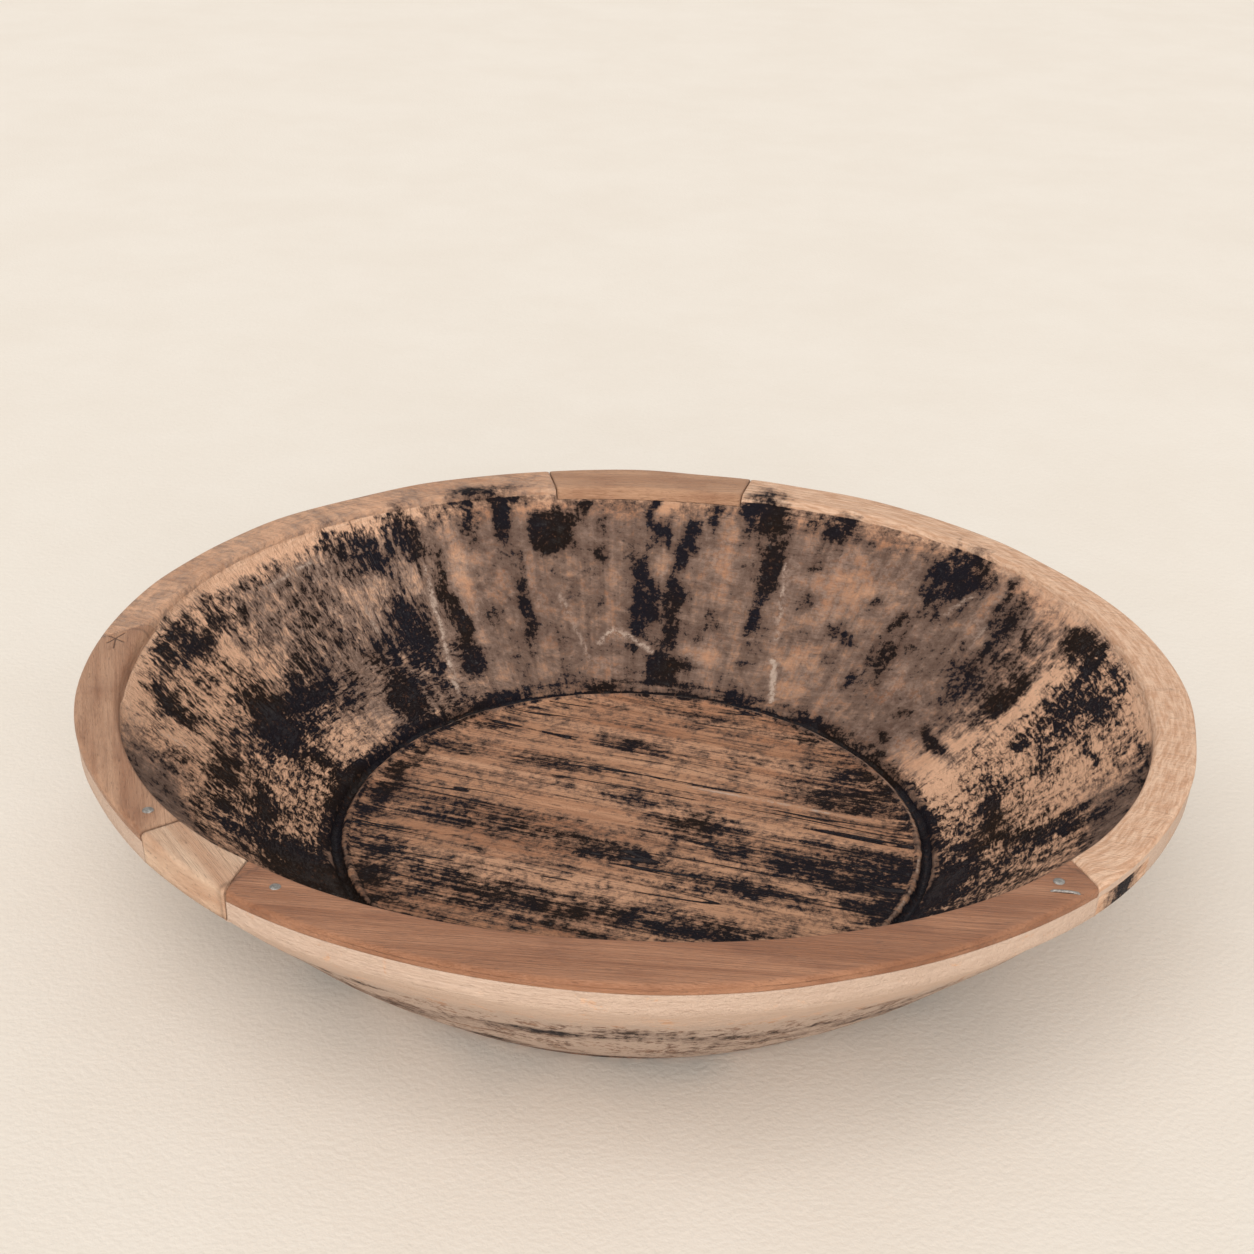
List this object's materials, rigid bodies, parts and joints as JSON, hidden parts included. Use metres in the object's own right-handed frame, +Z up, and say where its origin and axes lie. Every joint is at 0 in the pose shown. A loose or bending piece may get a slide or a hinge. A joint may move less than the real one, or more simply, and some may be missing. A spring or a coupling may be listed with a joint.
{
  "type": "carved wooden bowl",
  "caption": "Wide shallow bowl carved from one log section, with a thick flat rim mended by let-in strips, a block, nails and a staple.",
  "frame": {"origin": "centre of the flat foot, on the surface the bowl stands on", "axes": "+X along the rim's longer side, -Y towards the side with the long nailed strip, +Z up out of the bowl's mouth"},
  "size_m": [0.4194, 0.4064, 0.086],
  "materials": {
    "stained_wood": "worn, with dark glossy stain",
    "rim_wood": "worn smooth",
    "pale_wood": "bare, sanded",
    "tan_wood": "worn smooth",
    "nail_steel": "dull"
  },
  "bodies": {
    "root": {"bowl_body": "stained_wood", "left_rim_strip": "rim_wood", "left_rim_block": "pale_wood", "front_rim_strip": "tan_wood", "rear_rim_strip": "rim_wood", "left_strip_nail": "nail_steel", "front_strip_left_nail": "nail_steel", "front_strip_right_nail": "nail_steel", "rim_staple": "nail_steel"}
  },
  "joints": []
}
